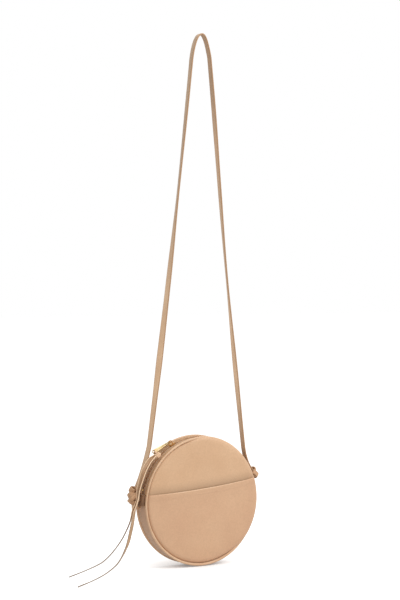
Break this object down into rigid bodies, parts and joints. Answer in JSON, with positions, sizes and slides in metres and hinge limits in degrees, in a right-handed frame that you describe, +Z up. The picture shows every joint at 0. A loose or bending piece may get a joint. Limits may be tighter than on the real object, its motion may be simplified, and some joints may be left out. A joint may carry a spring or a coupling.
{
  "type": "round shoulder bag",
  "caption": "Round flat leather shoulder bag with piped edges, zip over the top, front slip pocket and a long narrow knotted strap.",
  "frame": {"origin": "inner face of the strap at its top, where the bag hangs", "axes": "+X to the right seen from the front, +Y to the bag's back, +Z up"},
  "size_m": [0.3629, 0.1066, 0.8297],
  "materials": {
    "face_leather": "satin",
    "piping_leather": "satin",
    "strap_leather": "satin",
    "inner_leather": "matte",
    "lace_leather": "satin",
    "lining": "matte",
    "filler_cord": "matte",
    "board": "matte",
    "zip_tape": "matte",
    "zip_teeth": "satin",
    "zip_metal": "polished"
  },
  "bodies": {
    "strap": {"shoulder_strap": "strap_leather"},
    "bag": {"front_panel": "face_leather", "back_panel": "face_leather", "front_pocket": "face_leather", "inner_pocket": "inner_leather", "front_piping": "piping_leather", "back_piping": "piping_leather", "front_piping_cord": "filler_cord", "back_piping_cord": "filler_cord", "front_stiffener": "board", "back_stiffener": "board", "lining_front": "lining", "lining_back": "lining", "lining_gusset": "lining", "bottom_gusset": "face_leather", "zip_tape_front": "zip_tape", "zip_tape_back": "zip_tape", "zip_teeth_front": "zip_teeth", "zip_teeth_back": "zip_teeth", "zip_stop_left": "zip_metal", "zip_stop_right": "zip_metal", "left_lug": "face_leather", "right_lug": "face_leather", "left_strap_loop": "strap_leather", "right_strap_loop": "strap_leather", "left_knot": "strap_leather", "right_knot": "strap_leather", "left_strap_tail": "strap_leather", "right_strap_tail": "strap_leather"},
    "slider": {"zip_slider_body": "zip_metal", "zip_slider_bridge": "zip_metal"},
    "puller": {"zip_puller": "zip_metal"},
    "laces": {"lace_loop": "lace_leather", "lace_hitch": "lace_leather", "lace_front": "lace_leather", "lace_back": "lace_leather"}
  },
  "joints": [
    {"name": "bag_swing", "type": "hinge", "parent": "strap", "child": "bag", "pos_m": [-0.00887, -0.0011, -0.7001], "axis": [0.9962, 0, 0.0872], "range_deg": [-70, 70], "deforming": ["lace_front", "lace_back"]},
    {"name": "zip_slider_travel", "type": "hinge", "parent": "bag", "child": "slider", "pos_m": [-0.0066, 0, -0.726], "axis": [0, -1, 0], "range_deg": [-60, 3]},
    {"name": "puller_flip", "type": "hinge", "parent": "slider", "child": "puller", "pos_m": [-0.05563, 0, -0.63308], "axis": [0, 1, 0], "range_deg": [0, 90]},
    {"name": "lace_swing", "type": "hinge", "parent": "puller", "child": "laces", "pos_m": [-0.08325, 0, -0.64715], "axis": [0, 1, 0], "range_deg": [0, 30]}
  ]
}
